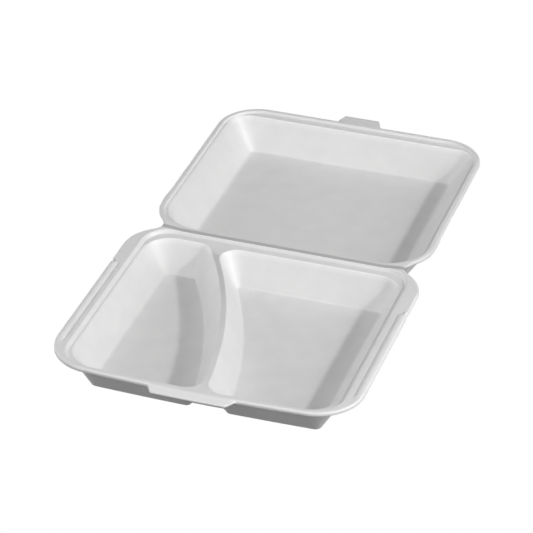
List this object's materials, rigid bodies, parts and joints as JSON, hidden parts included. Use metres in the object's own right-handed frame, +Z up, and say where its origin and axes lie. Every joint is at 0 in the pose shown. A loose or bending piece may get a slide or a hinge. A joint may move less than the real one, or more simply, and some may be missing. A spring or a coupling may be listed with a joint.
{
  "type": "foam clamshell container",
  "caption": "Hinged foam takeaway container lying open: a tray with a curved divider and a stepped rim, and a lid with a closing tab.",
  "frame": {"origin": "on the table, below the middle of the open container's width and length", "axes": "+X along the hinge, +Y from the front tab over the tray to the lid, +Z up"},
  "size_m": [0.24, 0.4324, 0.0325],
  "materials": {
    "tray_foam": "matte foam with a soft sheen",
    "lid_foam": "matte foam with a soft sheen"
  },
  "bodies": {
    "tray": {"base_tray": "tray_foam"},
    "lid": {"lid": "lid_foam"}
  },
  "joints": [
    {"name": "lid_hinge", "type": "hinge", "parent": "tray", "child": "lid", "pos_m": [0, 0.001, 0.0312], "axis": [1, 0, 0], "range_deg": [0, 180]}
  ]
}
